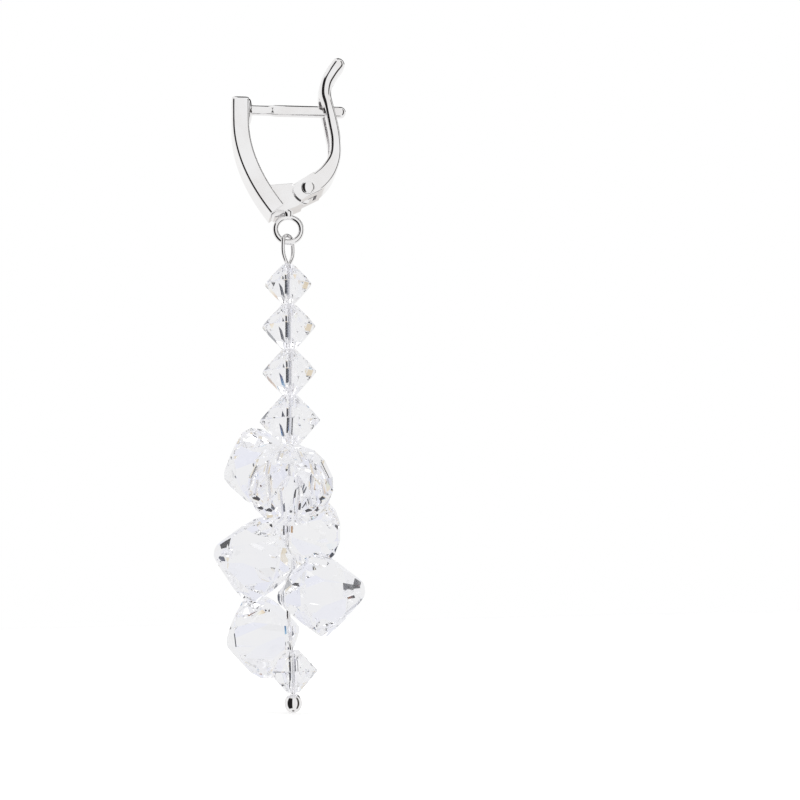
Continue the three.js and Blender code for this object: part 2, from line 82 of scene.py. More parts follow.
def add_camera():
    ahead = (CAMERA_AIM - CAMERA_PLACE).normalized()
    level = ahead.cross(Vector((0, 0, 1))).normalized()
    upright = level.cross(ahead)
    right = level * math.cos(CAMERA_ROLL) + upright * math.sin(CAMERA_ROLL)
    top = upright * math.cos(CAMERA_ROLL) - level * math.sin(CAMERA_ROLL)
    data = bpy.data.cameras.new("studio_camera")
    data.sensor_width = SENSOR_MM
    data.lens = FOCAL_PIXELS / IMAGE_PIXELS * SENSOR_MM
    data.clip_start = CLIP_NEAR
    data.clip_end = CLIP_FAR
    camera = bpy.data.objects.new("studio_camera", data)
    turn = Matrix((right, top, -ahead)).transposed()
    camera.matrix_world = Matrix.Translation(CAMERA_PLACE) @ turn.to_4x4()
    bpy.context.scene.collection.objects.link(camera)
    bpy.context.scene.camera = camera
    return camera


camera = add_camera()
print("lens in mm:", round(camera.data.lens, 2))

# %% [markdown]
# Clear crystal and mirror-bright silver have no look of their own: they show what stands round them. A
# jeweller's light tent gives them white on nearly every side, with a few dark openings that draw the
# crisp black lines and shards. The world here is such a tent. An opening is a patch with soft sides at
# a fixed azimuth and elevation. Azimuth 0 is straight behind the earring and 90 is on its right.
# One node group makes an opening, and gives 1 inside it and 0 outside.

# %% One opening of the light tent
def new_group(name, inputs, outputs):
    group = bpy.data.node_groups.new(name, "ShaderNodeTree")
    for title, kind, value in inputs:
        socket = group.interface.new_socket(title, in_out="INPUT", socket_type=kind)
        socket.default_value = value
    for title, kind in outputs:
        group.interface.new_socket(title, in_out="OUTPUT", socket_type=kind)
    start = group.nodes.new("NodeGroupInput")
    end = group.nodes.new("NodeGroupOutput")
    return group, start, end


def add_maths(tree, operation, first, second=0.0):
    node = tree.nodes.new("ShaderNodeMath")
    node.operation = operation
    for socket, value in zip(node.inputs, (first, second)):
        if isinstance(value, (int, float)):
            socket.default_value = value
        else:
            tree.links.new(value, socket)
    return node.outputs[0]


def make_opening():
    kind = "NodeSocketFloat"
    aims = ["Azimuth", "Elevation"]
    sizes = ["Middle Azimuth", "Half Width", "Middle Elevation", "Half Height", "Softness"]
    inputs = [(title, kind, 0.0) for title in aims + sizes]
    group, start, end = new_group("tent_opening", inputs, [("Mask", kind)])
    sides = []
    for angle, middle, half in (aims[0], *sizes[0:2]), (aims[1], *sizes[2:4]):
        apart = add_maths(group, "SUBTRACT", start.outputs[angle], start.outputs[middle])
        apart = add_maths(group, "ARCCOSINE", add_maths(group, "COSINE", apart))
        fade = group.nodes.new("ShaderNodeMapRange")
        fade.interpolation_type = "SMOOTHSTEP"
        group.links.new(apart, fade.inputs["Value"])
        outside = add_maths(group, "ADD", start.outputs[half], start.outputs["Softness"])
        group.links.new(outside, fade.inputs["From Min"])
        group.links.new(start.outputs[half], fade.inputs["From Max"])
        sides.append(fade.outputs[0])
    group.links.new(add_maths(group, "MULTIPLY", *sides), end.inputs["Mask"])
    return group


opening_group = make_opening()
print("inputs of an opening:", len(opening_group.nodes["Group Input"].outputs) - 1)

# %% [markdown]
# Silver wants a few broad openings, which draw its long black lines, and crystal wants many small ones.
# A photographer moves cards between two shots. Here the world looks at the ray: one that comes off the
# crystal is perfectly sharp, one that comes off the silver never is, and what the camera sees directly
# is a white backdrop. The crystal's first openings are pale lilac and tan, the others nearly black.
# A cut stone also splits light into colours, which a plain glass shader doesn't do. So its openings lie
# at a slightly different place for red, green and blue, and their edges get the coloured rims instead.
# Light is thrown about many times inside a stone before it leaves, and each time counts as a glossy
# bounce, so Blender's limits on bounces are raised, or the stones would turn black.

# %% The light tent
FRINGE_DEGREES = 0.15
LIGHT_BOUNCES, STONE_BOUNCES = 24, 20
SILVER_TENT = (0.95, 0.945, 0.94)
CRYSTAL_TENT = (0.87, 0.87, 0.875)
SILVER_OPENINGS = [
    # middle azimuth, half width, middle elevation, half height, softness, all in degrees, and the colour
    (31, 30, 56, 34, 2, (0.02, 0.018, 0.018)),
    (-132, 32, 0, 50, 4, (0.02, 0.018, 0.018)),
    (112, 13, 0, 50, 3, (0.05, 0.045, 0.04)),
    (0, 180, -86, 6, 3, (0.06, 0.05, 0.045)),
    (17, 6, -3, 5, 3, (0.78, 0.755, 0.735)),
]
CRYSTAL_OPENINGS = [
    (3, 20, 35, 16, 4, (0.84, 0.845, 0.89)),
    (-155, 16, 10, 14, 4, (0.79, 0.80, 0.88)),
    (22, 14, -20, 14, 4, (0.82, 0.83, 0.90)),
    (165, 15, 10, 14, 4, (0.79, 0.80, 0.88)),
    (161, 9, -20, 9, 2, (0.72, 0.64, 0.50)),
    (-92, 9, -15, 8, 2, (0.72, 0.62, 0.46)),
    (-167, 11, -40, 9, 2, (0.74, 0.68, 0.56)),
    (-90, 11, 5, 10, 1, (0.010, 0.012, 0.02)),
    (-47, 8, 20, 7, 1, (0.012, 0.018, 0.04)),
    (-14, 4, 10, 4, 1, (0.015, 0.03, 0.07)),
    (65, 6, -20, 5, 1, (0.03, 0.03, 0.035)),
    (23, 4, 2, 4, 1, (0.02, 0.02, 0.03)),
    (116, 10, 5, 10, 1, (0.012, 0.02, 0.05)),
    (-111, 10, 20, 9, 1, (0.012, 0.02, 0.04)),
    (-159, 7, -20, 7, 1, (0.03, 0.03, 0.035)),
    (58, 7, 15, 7, 1, (0.015, 0.025, 0.06)),
    (180, 7, -10, 7, 1, (0.02, 0.02, 0.03)),
    (-74, 4, -20, 4, 1, (0.02, 0.02, 0.03)),
]


def paint_tent(tree, azimuth, elevation, white, openings, fringe):
    nodes, links = tree.nodes, tree.links
    channels = []
    for channel, shift in enumerate((-fringe, 0, fringe)):
        plain = nodes.new("ShaderNodeValue")
        plain.outputs[0].default_value = white[channel]
        last = plain.outputs[0]
        for middle, width, height, tall, soft, inside in openings:
            mask = nodes.new("ShaderNodeGroup")
            mask.node_tree = opening_group
            links.new(azimuth, mask.inputs["Azimuth"])
            links.new(elevation, mask.inputs["Elevation"])
            values = (middle + shift, width, height + shift, tall, soft)
            for socket, value in zip(list(mask.inputs)[2:], values):
                socket.default_value = math.radians(value)
            blend = nodes.new("ShaderNodeMix")
            blend.data_type = "FLOAT"
            links.new(mask.outputs[0], blend.inputs[0])
            links.new(last, blend.inputs[2])
            blend.inputs[3].default_value = inside[channel]
            last = blend.outputs[0]
        channels.append(last)
    colour = nodes.new("ShaderNodeCombineColor")
    for socket, value in zip(colour.inputs, channels):
        links.new(value, socket)
    shade = nodes.new("ShaderNodeBackground")
    links.new(colour.outputs[0], shade.inputs["Color"])
    return shade.outputs[0]


def add_tent():
    world = bpy.data.worlds.new("light_tent")
    world.use_nodes = True
    bpy.context.scene.world = world
    tree = world.node_tree
    nodes, links = tree.nodes, tree.links
    nodes.clear()
    place = nodes.new("ShaderNodeTexCoord")
    aim = nodes.new("ShaderNodeVectorMath")
    aim.operation = "NORMALIZE"
    links.new(place.outputs["Generated"], aim.inputs[0])
    split = nodes.new("ShaderNodeSeparateXYZ")
    links.new(aim.outputs[0], split.inputs[0])
    azimuth = add_maths(tree, "ARCTAN2", split.outputs["X"], split.outputs["Y"])
    elevation = add_maths(tree, "ARCSINE", split.outputs["Z"])
    silver_tent = paint_tent(tree, azimuth, elevation, SILVER_TENT, SILVER_OPENINGS, 0)
    crystal_tent = paint_tent(tree, azimuth, elevation, CRYSTAL_TENT, CRYSTAL_OPENINGS, FRINGE_DEGREES)
    backdrop = nodes.new("ShaderNodeBackground")
    backdrop.inputs["Color"].default_value = (1, 1, 1, 1)
    path = nodes.new("ShaderNodeLightPath")
    last = silver_tent
    for ray, shade in (("Is Singular Ray", crystal_tent), ("Is Camera Ray", backdrop.outputs[0])):
        both = nodes.new("ShaderNodeMixShader")
        links.new(path.outputs[ray], both.inputs[0])
        links.new(last, both.inputs[1])
        links.new(shade, both.inputs[2])
        last = both.outputs[0]
    out = nodes.new("ShaderNodeOutputWorld")
    links.new(last, out.inputs["Surface"])
    bpy.context.scene.view_settings.view_transform = "Standard"


def raise_bounces():
    cycles = bpy.context.scene.cycles
    cycles.max_bounces = LIGHT_BOUNCES
    cycles.glossy_bounces = cycles.transmission_bounces = STONE_BOUNCES


add_tent()
raise_bounces()
print("openings in the tent:", len(SILVER_OPENINGS), "for silver,", len(CRYSTAL_OPENINGS), "for crystal")

# %% [markdown]
# The floor is a wide white sheet just under the ball. It glows a little, as overexposed paper does, so
# that only a trace of shadow shows under the earring. One big soft light hangs overhead. In a mirror or a
# stone the floor would be a hard horizon and the light a hard square, so the floor is hidden from them, and
# the light from their reflections.

# %% The floor and the overhead light
FLOOR_DROP = 0.03 * MM
FLOOR_HALF = 1.5
FLOOR_WHITE = 0.92
FLOOR_GLOW = 0.5
FLOOR_ROUGHNESS = 0.6
LIGHT_HEIGHT = 0.45
LIGHT_WIDTH = 0.5
LIGHT_WATTS = 0.75


def add_floor():
    data = bpy.data.materials.new("white_sheet")
    data.use_nodes = True
    shader = data.node_tree.nodes["Principled BSDF"]
    shader.inputs["Base Color"].default_value = (FLOOR_WHITE, FLOOR_WHITE, FLOOR_WHITE, 1)
    shader.inputs["Roughness"].default_value = FLOOR_ROUGHNESS
    shader.inputs["Emission Color"].default_value = (1, 1, 1, 1)
    shader.inputs["Emission Strength"].default_value = FLOOR_GLOW
    sheet = bmesh.new()
    bmesh.ops.create_grid(sheet, x_segments=2, y_segments=2, size=FLOOR_HALF)
    mesh = bpy.data.meshes.new("floor")
    sheet.to_mesh(mesh)
    sheet.free()
    mesh.materials.append(data)
    floor = bpy.data.objects.new("floor", mesh)
    floor.location.z = cad_box[0].z - FLOOR_DROP
    floor.visible_glossy = floor.visible_transmission = floor.visible_diffuse = False
    bpy.context.scene.collection.objects.link(floor)


def add_light():
    data = bpy.data.lights.new("overhead_softbox", "AREA")
    data.size = LIGHT_WIDTH
    data.energy = LIGHT_WATTS
    light = bpy.data.objects.new("overhead_softbox", data)
    light.location.z = LIGHT_HEIGHT
    light.visible_glossy = False
    bpy.context.scene.collection.objects.link(light)


add_floor()
add_light()
print("floor height in mm:", round((cad_box[0].z - FLOOR_DROP) / MM, 2))

# %% [markdown]
# Polished silver and cut crystal share some effects: a faint haze from handling that makes the gloss
# uneven, and fine hairlines left by the polishing wheel. Each is a shader node group, built once, that
# reads the piece's own coordinates and puts out a value for a material to use.

# %% Node groups for the finishes
HAZE_DETAIL, HAZE_ROUGHNESS = 5, 0.6
HAZE_FROM, HAZE_TO = 0.35, 0.65  # the noise below and above which the haze is nothing and full
HAIRLINE_DETAIL = 3


def make_haze():
    kind = "NodeSocketFloat"
    inputs = [("Scale", kind, 400.0), ("Low", kind, 0.0), ("High", kind, 0.1)]
    group, start, end = new_group("handling_haze", inputs, [("Value", kind), ("Mask", kind)])
    place = group.nodes.new("ShaderNodeTexCoord")
    cloud = group.nodes.new("ShaderNodeTexNoise")
    cloud.inputs["Detail"].default_value = HAZE_DETAIL
    cloud.inputs["Roughness"].default_value = HAZE_ROUGHNESS
    group.links.new(place.outputs["Object"], cloud.inputs["Vector"])
    group.links.new(start.outputs["Scale"], cloud.inputs["Scale"])
    spread = group.nodes.new("ShaderNodeMapRange")
    spread.inputs["From Min"].default_value = HAZE_FROM
    spread.inputs["From Max"].default_value = HAZE_TO
    group.links.new(cloud.outputs["Fac"], spread.inputs["Value"])
    span = add_maths(group, "SUBTRACT", start.outputs["High"], start.outputs["Low"])
    share = add_maths(group, "MULTIPLY", span, spread.outputs[0])
    total = add_maths(group, "ADD", share, start.outputs["Low"])
    group.links.new(total, end.inputs["Value"])
    group.links.new(spread.outputs[0], end.inputs["Mask"])
    return group


def make_hairlines():
    kind = "NodeSocketFloat"
    inputs = [("Scale", kind, 900.0), ("Stretch", kind, 0.06)]
    group, start, end = new_group("polish_hairlines", inputs, [("Height", kind)])
    place = group.nodes.new("ShaderNodeTexCoord")
    pull = group.nodes.new("ShaderNodeCombineXYZ")
    pull.inputs["X"].default_value = 1
    pull.inputs["Y"].default_value = 1
    group.links.new(start.outputs["Stretch"], pull.inputs["Z"])
    long = group.nodes.new("ShaderNodeVectorMath")
    long.operation = "MULTIPLY"
    group.links.new(place.outputs["Object"], long.inputs[0])
    group.links.new(pull.outputs[0], long.inputs[1])
    lines = group.nodes.new("ShaderNodeTexNoise")
    lines.inputs["Detail"].default_value = HAIRLINE_DETAIL
    group.links.new(long.outputs[0], lines.inputs["Vector"])
    group.links.new(start.outputs["Scale"], lines.inputs["Scale"])
    group.links.new(lines.outputs["Fac"], end.inputs["Height"])
    return group


haze_group = make_haze()
hairline_group = make_hairlines()
print("node groups:", [group.name for group in (haze_group, hairline_group)])

# %% [markdown]
# The silver is plated with rhodium, which is a shade bluer and harder than bare silver, and polished to
# a mirror. A Principled shader with full Metallic gives the mirror. The haze group moves its roughness
# between two low values, tints it slightly where fingers have been, and the hairlines go into a very
# shallow bump.

# %% The silver
SILVER_COLOUR = (0.90, 0.90, 0.91, 1)
SILVER_WORN = (0.84, 0.83, 0.83, 1)
SILVER_ROUGHNESS = (0.03, 0.10)
SILVER_HAZE_SCALE = 350.0
HAIRLINE_SCALE, HAIRLINE_STRETCH = 2500.0, 0.05
HAIRLINE_STRENGTH, HAIRLINE_DEPTH = 0.03, 0.01 * MM


def place_group(tree, group, **values):
    node = tree.nodes.new("ShaderNodeGroup")
    node.node_tree = group
    for title, value in values.items():
        node.inputs[title].default_value = value
    return node


def make_silver():
    material = bpy.data.materials.new("polished_silver_finish")
    material.use_nodes = True
    tree = material.node_tree
    shader = tree.nodes["Principled BSDF"]
    shader.inputs["Metallic"].default_value = 1
    low, high = SILVER_ROUGHNESS
    haze = place_group(tree, haze_group, Scale=SILVER_HAZE_SCALE, Low=low, High=high)
    tree.links.new(haze.outputs["Value"], shader.inputs["Roughness"])
    tint = tree.nodes.new("ShaderNodeMix")
    tint.data_type = "RGBA"
    tint.inputs[6].default_value = SILVER_COLOUR
    tint.inputs[7].default_value = SILVER_WORN
    tree.links.new(haze.outputs["Mask"], tint.inputs[0])
    tree.links.new(tint.outputs[2], shader.inputs["Base Color"])
    lines = place_group(tree, hairline_group, Scale=HAIRLINE_SCALE, Stretch=HAIRLINE_STRETCH)
    bump = tree.nodes.new("ShaderNodeBump")
    bump.inputs["Strength"].default_value = HAIRLINE_STRENGTH
    bump.inputs["Distance"].default_value = HAIRLINE_DEPTH
    tree.links.new(lines.outputs["Height"], bump.inputs["Height"])
    tree.links.new(bump.outputs[0], shader.inputs["Normal"])
    return material


silver = make_silver()
print("silver roughness:", SILVER_ROUGHNESS)

# %% [markdown]
# The beads are cut crystal: lead-free glass with a high refractive index, ground to flat facets. They are
# clear all through, so the shader is full Transmission. The haze group gives a trace of unevenness to the
# polish and a very faint cool tint. The roughness stays so near nought that the stones' rays still count
# as perfectly sharp, which is how the light tent knows them.

# %% The crystal
CRYSTAL_IOR = 1.56
CRYSTAL_CLEAR = (1.0, 1.0, 1.0, 1)
CRYSTAL_TINT = (0.97, 0.97, 0.99, 1)
CRYSTAL_ROUGHNESS = (0.0, 0.003)
CRYSTAL_HAZE_SCALE = 250.0


def make_crystal():
    material = bpy.data.materials.new("clear_crystal_finish")
    material.use_nodes = True
    tree = material.node_tree
    shader = tree.nodes["Principled BSDF"]
    shader.inputs["Transmission Weight"].default_value = 1
    shader.inputs["IOR"].default_value = CRYSTAL_IOR
    low, high = CRYSTAL_ROUGHNESS
    haze = place_group(tree, haze_group, Scale=CRYSTAL_HAZE_SCALE, Low=low, High=high)
    tree.links.new(haze.outputs["Value"], shader.inputs["Roughness"])
    tint = tree.nodes.new("ShaderNodeMix")
    tint.data_type = "RGBA"
    tint.inputs[6].default_value = CRYSTAL_CLEAR
    tint.inputs[7].default_value = CRYSTAL_TINT
    tree.links.new(haze.outputs["Mask"], tint.inputs[0])
    tree.links.new(tint.outputs[2], shader.inputs["Base Color"])
    return material


crystal = make_crystal()
print("crystal refractive index:", CRYSTAL_IOR)

# %% [markdown]
# Nearly every silver form is skinned from rings of points, so a few helpers do most of the work. skin
# joins rings of equal size into a closed tube. rounded gives the ring of a bar with soft edges. combine
# joins two forms or cuts one with the other. make_piece takes the finished object from millimetres to
# metres, gives it its finish and lets it ride on its CAD body.

# %% Helpers for the silver pieces
SHARP_ANGLE = math.radians(32)
AXIS_SHRINK = 0.02  # the radius that a turned piece keeps at its tip, so that its last ring isn't a point
FULL_CORNER = 0.98  # the most of a section's half that its round corner takes


def skin(mesh, rings, closed=False):
    rows = [[mesh.verts.new(point) for point in ring] for ring in rings]
    pairs = list(zip(rows, rows[1:]))
    if closed:
        pairs.append((rows[-1], rows[0]))
    for one, two in pairs:
        for i in range(len(one)):
            j = (i + 1) % len(one)
            mesh.faces.new((one[i], one[j], two[j], two[i]))
    if not closed:
        mesh.faces.new(list(reversed(rows[0])))
        mesh.faces.new(rows[-1])


def rounded(half_wide, half_thick, radius, steps=5):
    radius = min(radius, half_wide * FULL_CORNER, half_thick * FULL_CORNER)
    points = []
    for quarter, (a, b) in enumerate(((1, 1), (-1, 1), (-1, -1), (1, -1))):
        x, y = a * (half_wide - radius), b * (half_thick - radius)
        for step in range(steps + 1):
            angle = (quarter + step / steps) * math.pi / 2
            points.append((x + radius * math.cos(angle), y + radius * math.sin(angle)))
    return points


def as_object(name, mesh):
    bmesh.ops.recalc_face_normals(mesh, faces=mesh.faces)
    data = bpy.data.meshes.new(name)
    mesh.to_mesh(data)
    mesh.free()
    made = bpy.data.objects.new(name, data)
    bpy.context.scene.collection.objects.link(made)
    return made


def combine(base, tool, operation):
    change = base.modifiers.new(operation.lower(), "BOOLEAN")
    change.operation = operation
    change.solver = "EXACT"
    change.use_self = True
    change.object = tool
    bpy.context.view_layer.update()
    worked_out = base.evaluated_get(bpy.context.evaluated_depsgraph_get())
    shaped = bpy.data.meshes.new_from_object(worked_out)
    base.modifiers.clear()
    base.data = shaped
    bpy.data.objects.remove(tool)
    return base


def make_piece(made, body, finish, slot_name, *nodes):
    made.data.transform(Matrix.Scale(MM, 4))
    made.data.materials.clear()
    made.data.materials.append(finish)
    made.data.shade_smooth()
    made.data.set_sharp_from_angle(angle=SHARP_ANGLE)
    weigh = made.modifiers.new("flat_faces", "WEIGHTED_NORMAL")
    weigh.keep_sharp = True
    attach(made, body)
    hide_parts(*nodes)
    print(made.name, "faces:", len(made.data.polygons))


def side_ring(place, along, section):
    # a ring across the clasp: its wide way is Y, its thick way is square to the line in the XZ plane
    side = Vector((-along.z, 0, along.x))
    return [place + Vector((0, a, 0)) + side * b for a, b in section]


def directions(points):
    last = len(points) - 1
    return [(points[min(i + 1, last)] - points[max(i - 1, 0)]).normalized() for i in range(last + 1)]


def lathe(profile, origin, axis, across, sides=48):
    # profile rows are (distance along the axis, radius)
    other = axis.cross(across)
    turns = [i / sides * 2 * math.pi for i in range(sides)]
    outward = [across * math.cos(turn) + other * math.sin(turn) for turn in turns]
    mesh = bmesh.new()
    skin(mesh, [[origin + axis * along + out * radius for out in outward] for along, radius in profile])
    return mesh


def round_end(radius, height, start, steps=10):
    # from a side of that radius at start to a nearly pointed end, height further along
    rows = []
    for i in range(steps + 1):
        angle = i / steps * math.pi / 2
        rows.append((start + height * math.sin(angle), max(radius * math.cos(angle), AXIS_SHRINK)))
    return rows


# %% [markdown]
# The front bar is a strip of silver 3.8 mm wide that curves down and back under the ear lobe. On the real
# clasp it is cast, then ground flat on its sides and polished, so its long edges are soft. A Bezier curve
# in the side view gives its middle line. Its two upper corners are rounded in the front view, so the
# rings get narrower there.

# %% The front bar
HINGE = Vector((1.85, 0, -8.2))
BAR_WIDTH, BAR_THICKNESS = 3.8, 1.62
BAR_BACK, BAR_TOP, BAR_STRAIGHT = -3.7, 0.88, 2.6
BAR_CORNER, SOFT_EDGE = 0.6, 0.24
BAR_BEND = Vector((BAR_BACK - BAR_THICKNESS / 2, 0, BAR_TOP - BAR_STRAIGHT))
BAR_FOOT = HINGE + Vector((-2.96, 0, -2.1))
FOOT_ANGLE = math.radians(37.6)
BAR_LEAN = Vector((-math.sin(FOOT_ANGLE), 0, math.cos(FOOT_ANGLE)))
UPPER_PULL, LOWER_PULL = 3.1, 3.2
CORNER_SHARES = (0, 0.05, 0.12, 0.22, 0.35, 0.5, 0.7, 1)  # of the corner's height, for a ring each
STRAIGHT_SHARES = (0.25, 0.5, 0.75)
BEND_STEPS = 40
TOP_EDGE, TOP_EDGE_SLOPE = 0.08, 0.6  # how far the top's edge is taken in, and how fast that ends


def bar_points():
    top = [Vector((BAR_BEND.x, 0, BAR_TOP - BAR_CORNER * share)) for share in CORNER_SHARES]
    straight = [BAR_BEND.lerp(top[-1], 1 - share) for share in STRAIGHT_SHARES]
    upper, lower = BAR_BEND - Vector((0, 0, UPPER_PULL)), BAR_FOOT + BAR_LEAN * LOWER_PULL
    curve = []
    for i in range(BEND_STEPS + 1):
        t = i / BEND_STEPS
        weights = ((1 - t) ** 3, 3 * t * (1 - t) ** 2, 3 * t * t * (1 - t), t**3)
        pulls = zip((BAR_BEND, upper, lower, BAR_FOOT), weights)
        curve.append(sum((place * weight for place, weight in pulls), Vector()))
    return top + straight + curve


def make_bar():
    points = bar_points()
    rings = []
    for point, along in zip(points, directions(points)):
        below = min(BAR_TOP - point.z, BAR_CORNER)
        inset = BAR_CORNER - math.sqrt(max(BAR_CORNER**2 - (BAR_CORNER - below) ** 2, 0))
        taken = max(0.0, TOP_EDGE - below * TOP_EDGE_SLOPE)
        section = rounded(BAR_WIDTH / 2 - inset, BAR_THICKNESS / 2 - taken, SOFT_EDGE)
        rings.append(side_ring(point, along, section))
    mesh = bmesh.new()
    skin(mesh, rings)
    return as_object("front_bar", mesh)


clasp_body = make_bar()
print("bar foot in mm:", [round(c, 2) for c in BAR_FOOT])

# %% [markdown]
# The ear post starts as a thinner stem on a low domed boss and grows into a full round bar with a round
# tip. All of it is turned on a lathe in real life, and so it is here: profiles of distance and radius
# are spun round the X axis. A small fillet lets the stem grow out of the boss, and the boss is cut off
# where it would pass the top of the bar.

# %% The boss and the post
BACKWARD, ACROSS = Vector((1, 0, 0)), Vector((0, 1, 0))
BOSS_RADIUS, BOSS_HEIGHT, BOSS_BELOW = 1.35, 0.38, 0.12
STEM_RADIUS, POST_RADIUS, POST_TIP = 0.48, 0.56, 5.84
STEM_END, TAPER_END = 2.08, 2.58
POST_ROOT = -0.8  # both start this deep in the bar
FILLET_OUT, FILLET_LENGTH = 0.03, 0.06
TOP_MARGIN = 0.02  # from the cut boss up to the bar's top


def make_post():
    length = POST_TIP - BAR_BACK
    profile = [(POST_ROOT, STEM_RADIUS), (BOSS_HEIGHT, STEM_RADIUS + FILLET_OUT)]
    profile += [(BOSS_HEIGHT + FILLET_LENGTH, STEM_RADIUS), (STEM_END, STEM_RADIUS)]
    profile += [((STEM_END + TAPER_END) / 2, (STEM_RADIUS + POST_RADIUS) / 2), (TAPER_END, POST_RADIUS)]
    profile += round_end(POST_RADIUS, POST_RADIUS, length - POST_RADIUS)
    mesh = lathe(profile, Vector((BAR_BACK, 0, 0)), BACKWARD, ACROSS)
    return as_object("ear_post", mesh)


def make_boss():
    profile = [(POST_ROOT, BOSS_RADIUS)] + round_end(BOSS_RADIUS, BOSS_HEIGHT, 0)
    mesh = lathe(profile, Vector((BAR_BACK, 0, -BOSS_BELOW)), BACKWARD, ACROSS)
    boss = as_object("boss", mesh)
    top = BAR_TOP - TOP_MARGIN
    corners = ((-BAR_WIDTH, -BAR_WIDTH), (BAR_WIDTH, -BAR_WIDTH), (BAR_WIDTH, top), (-BAR_WIDTH, top))
    room = bmesh.new()
    skin(room, [[Vector((x, y, z)) for y, z in corners] for x in (BAR_BACK * 2, 0)])
    return combine(boss, as_object("boss_room", room), "INTERSECT")


combine(clasp_body, make_boss(), "UNION")
combine(clasp_body, make_post(), "UNION")
print("post length in mm:", POST_TIP - BAR_BACK)

# %% [markdown]
# Behind the bar's foot a bracket holds the hinge: a block that is hollowed round the lever's ears, a
# tongue that goes between them, and a lip that runs forward under the foot. Side-view outlines pushed
# across the clasp make these, with a bevel on their long edges, and booleans join and hollow them.

# %% The bracket
BRACKET_WIDTH, TONGUE_WIDTH, LIP_WIDTH = 3.0, 1.3, 1.9
BRACKET_HEIGHT, BRACKET_EDGE, EDGE_STEPS = 2.9, 0.08, 3
TONGUE_RADIUS, BORE_RADIUS = 0.85, 0.48
EAR_RADIUS, SWING_ROOM = 1.4, 0.12
UPPER = BAR_FOOT + BAR_LEAN * BRACKET_HEIGHT
BEHIND = HINGE + Vector((-1.42, 0, 0.52))
BELOW = HINGE + Vector((-0.44, 0, -1.4))
LIP = BAR_FOOT + Vector((-0.24, 0, -0.65))
LIP_HEIGHT = 0.325
LIP_FRONT = LIP + BAR_LEAN * LIP_HEIGHT
BELOW_ANGLE, BEHIND_ANGLE = 252.6, 159.9  # where the tongue's round leaves its straight sides
INSIDE = Vector((0, 0, 0.03))  # keeps joined outlines from sharing a face
THROUGH = 10  # longer than any width that is cut through


def prism(name, outline, width, edge=0.0):
    mesh = bmesh.new()
    near = [mesh.verts.new(Vector((p.x, -width / 2, p.z))) for p in outline]
    far = [mesh.verts.new(Vector((p.x, width / 2, p.z))) for p in outline]
    mesh.faces.new(near)
    mesh.faces.new(list(reversed(far)))
    for i in range(len(outline)):
        j = (i + 1) % len(outline)
        mesh.faces.new((near[j], near[i], far[i], far[j]))
    if edge:
        rims = [e for e in mesh.edges if e.verts[0].co.y == e.verts[1].co.y]
        bmesh.ops.bevel(mesh, geom=rims, offset=edge, segments=EDGE_STEPS, affect="EDGES", profile=0.5)
    return as_object(name, mesh)


def cross_bar(name, centre, radius, width, sides=64):
    mesh = lathe([(-width / 2, radius), (width / 2, radius)], centre, ACROSS, BACKWARD, sides)
    return as_object(name, mesh)


def arc(centre, radius, start, stop, steps=24):
    angles = [math.radians(start + (stop - start) * i / steps) for i in range(steps + 1)]
    return [centre + Vector((math.cos(a), 0, math.sin(a))) * radius for a in angles]


def make_bracket():
    heel_x = BAR_FOOT.x + BAR_THICKNESS / 2
    slope = (BELOW.z - LIP.z) / (BELOW.x - LIP.x)
    heel = Vector((heel_x, 0, LIP.z + slope * (heel_x - LIP.x)))
    hollow = arc(HINGE, EAR_RADIUS + SWING_ROOM, BELOW_ANGLE, BEHIND_ANGLE)
    block = prism("bracket", [BAR_FOOT, heel] + hollow + [UPPER], BRACKET_WIDTH, BRACKET_EDGE)
    lip = prism("lip", [LIP + INSIDE] + hollow[2:-2] + [BAR_FOOT, LIP_FRONT], LIP_WIDTH)
    combine(block, lip, "UNION")
    knuckle = arc(HINGE, TONGUE_RADIUS, BELOW_ANGLE, BEHIND_ANGLE + 360, 64)
    outline = [BAR_FOOT, heel + INSIDE, BELOW + INSIDE] + knuckle + [BEHIND, UPPER]
    tongue = prism("tongue", outline, TONGUE_WIDTH)
    combine(tongue, cross_bar("bore", HINGE, BORE_RADIUS, THROUGH), "DIFFERENCE")
    return combine(block, tongue, "UNION")


combine(clasp_body, make_bracket(), "UNION")
print("faces with the bracket:", len(clasp_body.data.polygons))

# %% [markdown]
# Under the bracket hangs a ring of round wire, closed and soldered on. It is a circle swept round a
# circle, and a little drop of solder joins it to the bracket.

# %% The ring
RING_CENTRE = HINGE + Vector((-1.79, 0, -3.7))
RING_RADIUS, RING_WIRE = 1.24, 0.28
RING_STEPS, WIRE_SIDES = 72, 20
SOLDER_RADIUS, SOLDER_HEIGHT = 0.45, 0.55
SOLDER_NECK = ((0, 0.8), (0.1, 0.95))  # height, and share of the radius there
UPWARD = Vector((0, 0, 1))


def make_ring():
    turns = [i / WIRE_SIDES * 2 * math.pi for i in range(WIRE_SIDES)]
    rings = []
    for i in range(RING_STEPS):
        angle = i / RING_STEPS * 2 * math.pi
        out = Vector((math.cos(angle), 0, math.sin(angle)))
        centre = RING_CENTRE + out * RING_RADIUS
        rings.append([centre + (out * math.cos(t) + ACROSS * math.sin(t)) * RING_WIRE for t in turns])
    mesh = bmesh.new()
    skin(mesh, rings, closed=True)
    return as_object("ring", mesh)


def make_solder():
    profile = [(height, SOLDER_RADIUS * share) for height, share in SOLDER_NECK]
    profile += [(SOLDER_HEIGHT, SOLDER_RADIUS)]
    place = RING_CENTRE + UPWARD * RING_RADIUS
    return as_object("solder", lathe(profile, place, UPWARD, BACKWARD, 32))


combine(clasp_body, make_ring(), "UNION")
combine(clasp_body, make_solder(), "UNION")
clasp_body.name = "clasp_frame_polished"
make_piece(clasp_body, "clasp", silver, "polished_silver", "clasp_frame")

